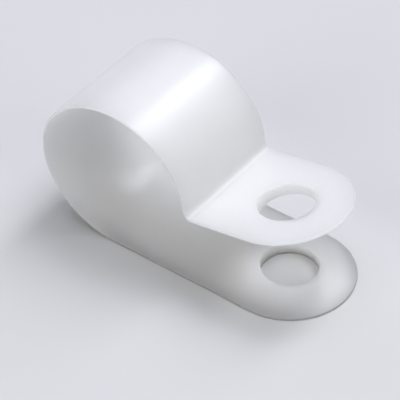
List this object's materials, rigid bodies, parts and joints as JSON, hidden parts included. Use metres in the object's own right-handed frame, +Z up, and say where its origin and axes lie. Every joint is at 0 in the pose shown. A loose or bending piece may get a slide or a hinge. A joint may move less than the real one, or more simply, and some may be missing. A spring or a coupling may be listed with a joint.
{
  "type": "p clip",
  "caption": "Moulded nylon P clip: a flat-sided strap that loops round a cable or pipe and ends in two round tabs, drawn together by a screw through both.",
  "frame": {"origin": "axis of the lower screw hole, on the flat underside that lies on the panel", "axes": "+Z up along the lower screw hole, away from the panel; +X along the lower strip from the loop towards the tab ends; +Y across the strap, along the cable"},
  "size_m": [0.0242, 0.01, 0.0125],
  "materials": {
    "natural_nylon": "semi-gloss as moulded, milky and slightly see-through"
  },
  "bodies": {
    "root": {"clip": "natural_nylon"}
  },
  "joints": []
}
